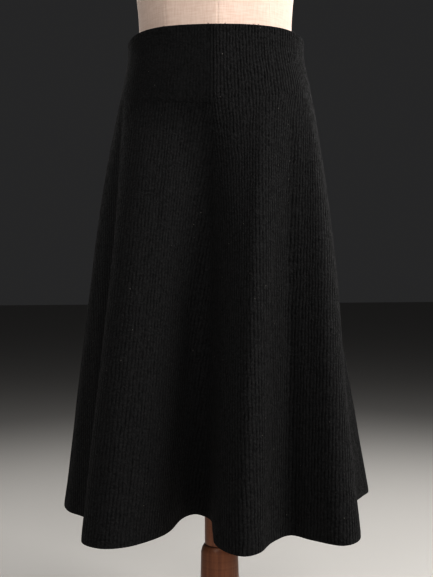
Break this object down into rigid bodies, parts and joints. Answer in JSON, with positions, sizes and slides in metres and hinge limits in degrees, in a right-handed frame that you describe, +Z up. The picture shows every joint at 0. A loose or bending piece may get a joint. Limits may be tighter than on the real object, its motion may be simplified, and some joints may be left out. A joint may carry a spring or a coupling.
{
  "type": "a-line skirt on a dress form",
  "caption": "A flared midi skirt of ribbed wool with a deep shaped yoke, worn by a limbless linen dress form on a turned wooden stand.",
  "frame": {"origin": "centre of the base's underside, on the floor", "axes": "+Z up; -Y to the skirt's front; +X to the right as seen from the front"},
  "size_m": [0.4874, 0.4528, 1.4713],
  "materials": {
    "wool": "matt ribbed wool knit",
    "linen": "plain woven linen",
    "wood": "satin stained beech"
  },
  "bodies": {
    "root": {"yoke_front_right": "wool", "gore_front_right": "wool", "yoke_back_right": "wool", "gore_back_right": "wool", "yoke_back_left": "wool", "gore_back_left": "wool", "yoke_front_left": "wool", "gore_front_left": "wool", "form_body": "linen", "form_neck_cap": "wood", "stand_pole": "wood", "stand_sleeve": "wood", "stand_base": "wood"}
  },
  "joints": []
}
